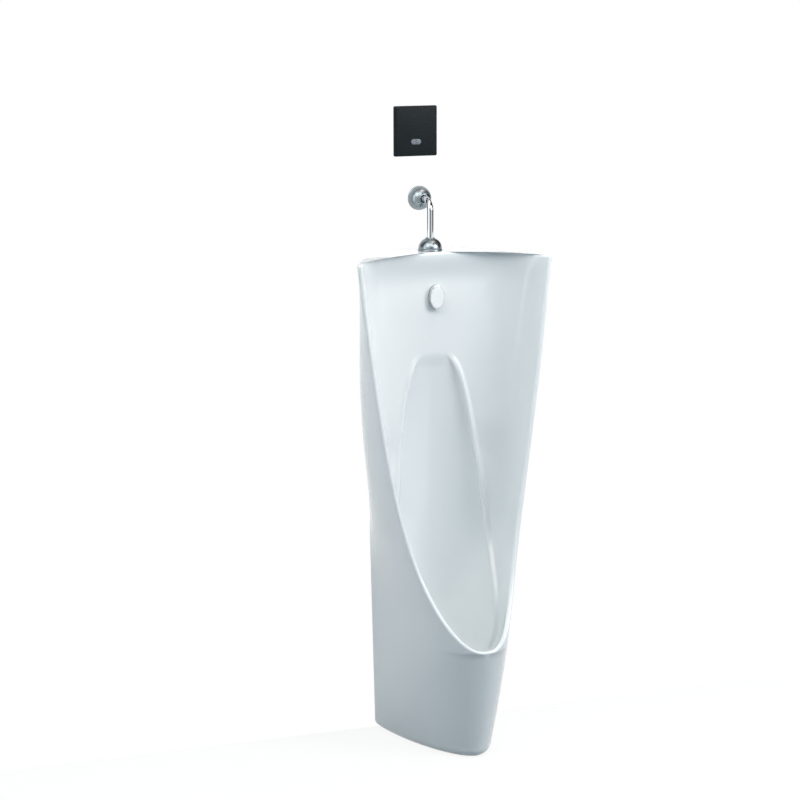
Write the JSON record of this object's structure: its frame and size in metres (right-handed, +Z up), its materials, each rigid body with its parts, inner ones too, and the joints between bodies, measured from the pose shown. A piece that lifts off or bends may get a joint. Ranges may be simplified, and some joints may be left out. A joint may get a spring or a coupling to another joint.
{
  "type": "floor standing urinal",
  "caption": "Floor standing white ceramic urinal with a tall open bowl, chrome top flush pipe, bell and wall covers, oval spreader and a black wall sensor plate with its in-wall valve.",
  "frame": {"origin": "on the floor, on the finished wall plane, at the centre of the ceramic body's back", "axes": "+Z up, the wall is the plane y = 0 and the front faces -Y, +X to the right as seen from the front"},
  "size_m": [0.444, 0.4265, 1.37],
  "materials": {
    "ceramic": "white glazed vitreous china",
    "steel": "plain stainless steel",
    "chrome": "polished chrome plate",
    "spreader_white": "glossy white cap",
    "rubber": "matt black rubber",
    "brass": "plain cast brass",
    "copper": "drawn copper tube",
    "box_blue": "moulded box",
    "plate_black": "near-black satin plate",
    "window_grey": "grey infrared window",
    "dark_plastic": "black moulded plastic",
    "board_green": "circuit board",
    "battery_wrap": "wrapped battery pack",
    "ptfe": "white seal plastic",
    "trap_white": "white polypropylene"
  },
  "bodies": {
    "fixed": {"ceramic_body": "ceramic", "wall_hooks": "steel", "hook_screws": "steel", "inlet_bend": "chrome", "inlet_grommet": "rubber", "feed_body": "brass", "feed_ring": "rubber", "feed_washer": "rubber", "spreader_washer": "rubber", "spreader_nut": "brass", "spreader_cup": "chrome", "spreader_face": "spreader_white", "wall_elbow": "brass", "elbow_olive": "copper", "elbow_nut": "brass", "riser_pipe": "copper", "rough_in_box": "box_blue", "mounting_frame": "steel", "frame_screws": "steel", "battery_case": "dark_plastic", "battery": "battery_wrap", "battery_lid": "dark_plastic", "valve_body": "brass", "ball_seats": "ptfe", "gland_nut": "brass", "supply_nipple": "brass", "filter_screen": "steel", "diaphragm": "rubber", "valve_bonnet": "dark_plastic", "bonnet_screws": "steel", "core_tube": "steel", "plunger_spring": "steel", "solenoid_coil": "dark_plastic", "coil_nut": "steel", "waste_body": "chrome", "waste_gasket": "rubber", "waste_seal": "rubber", "waste_nut": "trap_white", "trap_cup": "trap_white", "trap_ring": "rubber", "trap_nut": "trap_white", "outlet_pipe": "trap_white", "outlet_seal": "rubber", "outlet_nut": "trap_white", "wall_sleeve": "rubber"},
    "bell_cover": {"bell_cover": "chrome"},
    "wall_cover": {"wall_cover": "chrome"},
    "sensor_plate": {"face_plate": "plate_black", "plate_clips": "steel", "sensor_window": "window_grey", "sensor_lenses": "window_grey", "sensor_housing": "dark_plastic", "sensor_board": "board_green", "sensor_diodes": "dark_plastic"},
    "strainer": {"strainer": "chrome"},
    "stop_valve_stem": {"stop_stem": "brass"},
    "plunger": {"solenoid_plunger": "steel"}
  },
  "joints": [
    {"name": "bell_cover_slide", "type": "slide", "parent": "fixed", "child": "bell_cover", "axis": [0, 0, 1], "range_m": [0, 0.05]},
    {"name": "wall_cover_slide", "type": "slide", "parent": "fixed", "child": "wall_cover", "axis": [0, -1, 0], "range_m": [0, 0.008]},
    {"name": "sensor_plate_slide", "type": "slide", "parent": "fixed", "child": "sensor_plate", "axis": [0, -1, 0], "range_m": [0, 0.06]},
    {"name": "strainer_lift", "type": "slide", "parent": "fixed", "child": "strainer", "axis": [0, 0, 1], "range_m": [0, 0.06]},
    {"name": "stop_valve_turn", "type": "hinge", "parent": "fixed", "child": "stop_valve_stem", "pos_m": [0, 0.042, 1.318], "axis": [0, -1, 0], "range_deg": [0, 90]},
    {"name": "plunger_slide", "type": "slide", "parent": "fixed", "child": "plunger", "axis": [-1, 0, 0], "range_m": [0, 0.0025], "stiffness_N_per_m": 150, "springref_m": -0.004}
  ]
}
